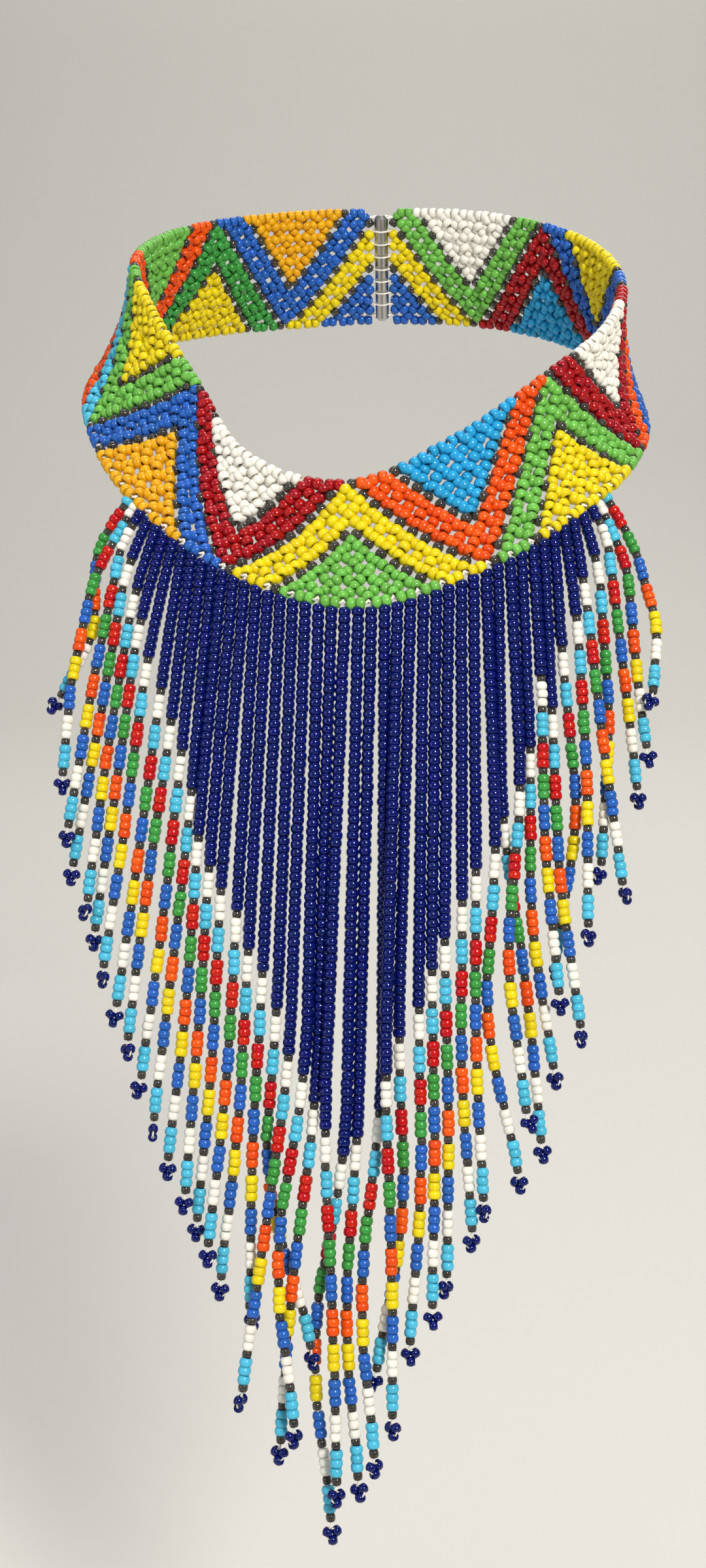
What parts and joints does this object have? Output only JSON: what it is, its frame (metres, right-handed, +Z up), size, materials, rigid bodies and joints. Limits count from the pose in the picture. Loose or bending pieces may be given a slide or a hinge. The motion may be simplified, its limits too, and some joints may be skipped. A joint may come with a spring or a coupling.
{
  "type": "beaded bib necklace",
  "caption": "Collar of netted glass beads in chevrons and triangles that goes round the neck, with a long tapering fringe of bead strings in front and a clasp at the back.",
  "frame": {"origin": "on the neck's axis, level with the dip of the band's upper edge at the throat", "axes": "+Z up along the neck, -Y towards the front where the fringe hangs, +X to the right of someone who faces the necklace"},
  "size_m": [0.1316, 0.2057, 0.2599],
  "materials": {
    "band_beads": "glossy opaque seed beads",
    "string_beads": "glossy opaque seed beads",
    "thread": "white beading thread",
    "clasp_metal": "plain satin metal"
  },
  "bodies": {
    "root": {"collar": "band_beads", "clasp": "clasp_metal", "strand_01": "string_beads", "strand_02": "string_beads", "strand_03": "string_beads", "strand_04": "string_beads", "strand_05": "string_beads", "strand_06": "string_beads", "strand_07": "string_beads", "strand_08": "string_beads", "strand_09": "string_beads", "strand_10": "string_beads", "strand_11": "string_beads", "strand_12": "string_beads", "strand_13": "string_beads", "strand_14": "string_beads", "strand_15": "string_beads", "strand_16": "string_beads", "strand_17": "string_beads", "strand_18": "string_beads", "strand_19": "string_beads", "strand_20": "string_beads", "strand_21": "string_beads", "strand_22": "string_beads", "strand_23": "string_beads", "strand_24": "string_beads", "strand_25": "string_beads", "strand_26": "string_beads", "strand_27": "string_beads", "strand_28": "string_beads", "strand_29": "string_beads", "strand_30": "string_beads", "strand_31": "string_beads", "strand_32": "string_beads", "strand_33": "string_beads", "strand_34": "string_beads", "strand_35": "string_beads", "strand_36": "string_beads", "strand_37": "string_beads", "strand_38": "string_beads", "strand_39": "string_beads", "strand_40": "string_beads", "strand_41": "string_beads", "strand_42": "string_beads", "strand_43": "string_beads", "strand_44": "string_beads", "strand_45": "string_beads"}
  },
  "joints": []
}
